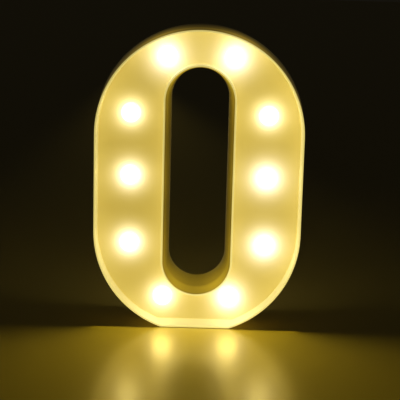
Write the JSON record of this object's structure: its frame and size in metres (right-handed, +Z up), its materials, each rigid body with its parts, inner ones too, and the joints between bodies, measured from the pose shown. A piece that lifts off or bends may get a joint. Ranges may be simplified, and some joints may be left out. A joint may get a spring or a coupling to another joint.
{
  "type": "led letter light",
  "caption": "Free-standing stadium-shaped marquee letter lamp with a recessed glowing face, frosted LED bulbs, a screwed back cover, a tilt-out battery door and a slide switch.",
  "frame": {"origin": "centre of the flat base, midway between the front edge and the back face", "axes": "+Z up, -Y out of the lit face, +X to the right when the lit face is looked at"},
  "size_m": [0.1588, 0.045, 0.2231],
  "materials": {
    "translucent_white": "white translucent moulding, satin, lit warm from its recess",
    "opaque_white": "fine matt texture",
    "frosted_bulb": "frosted warm white dome, lit",
    "led_resin": "clear epoxy with a warm phosphor, lit",
    "cell_sleeve": "plain dark shrink sleeve over steel",
    "nickel": "nickel-plated spring steel",
    "black_plastic": "matt black moulding",
    "zinc_steel": "zinc-plated steel",
    "red_insulation": "red wire insulation",
    "black_insulation": "black wire insulation",
    "resistor_enamel": "tan enamel"
  },
  "bodies": {
    "letter": {"letter_shell": "translucent_white", "back_cover": "opaque_white", "bulb_cap_01": "frosted_bulb", "bulb_cap_02": "frosted_bulb", "bulb_cap_03": "frosted_bulb", "bulb_cap_04": "frosted_bulb", "bulb_cap_05": "frosted_bulb", "bulb_cap_06": "frosted_bulb", "bulb_cap_07": "frosted_bulb", "bulb_cap_08": "frosted_bulb", "bulb_cap_09": "frosted_bulb", "bulb_cap_10": "frosted_bulb", "led_01": "led_resin", "led_02": "led_resin", "led_03": "led_resin", "led_04": "led_resin", "led_05": "led_resin", "led_06": "led_resin", "led_07": "led_resin", "led_08": "led_resin", "led_09": "led_resin", "led_10": "led_resin", "lamp_wire_positive": "red_insulation", "lamp_wire_negative": "black_insulation", "battery_cell_1": "cell_sleeve", "battery_cell_2": "cell_sleeve", "contact_bridge": "nickel", "contact_positive": "nickel", "contact_negative": "nickel", "contact_spring_lower": "nickel", "contact_spring_upper": "nickel", "switch_body": "black_plastic", "switch_screw_1": "zinc_steel", "switch_screw_2": "zinc_steel", "cover_screw_1": "zinc_steel", "cover_screw_2": "zinc_steel", "cover_screw_3": "zinc_steel", "cover_screw_4": "zinc_steel", "cover_screw_5": "zinc_steel", "cover_screw_6": "zinc_steel", "cover_screw_7": "zinc_steel", "cover_screw_8": "zinc_steel", "resistor": "resistor_enamel", "wire_battery_to_lamps": "black_insulation", "wire_battery_to_switch": "red_insulation", "wire_resistor_to_lamps": "red_insulation", "wire_switch_to_resistor": "red_insulation"},
    "battery_door": {"battery_door": "opaque_white"},
    "switch_knob": {"switch_knob": "black_plastic"}
  },
  "joints": [
    {"name": "door_hinge", "type": "hinge", "parent": "letter", "child": "battery_door", "pos_m": [-0.0505, 0.0214, 0.08125], "axis": [-1, 0, 0], "range_deg": [0, 70]},
    {"name": "switch_slide", "type": "slide", "parent": "letter", "child": "switch_knob", "axis": [0, 0, -1], "range_m": [0, 0.003]}
  ]
}
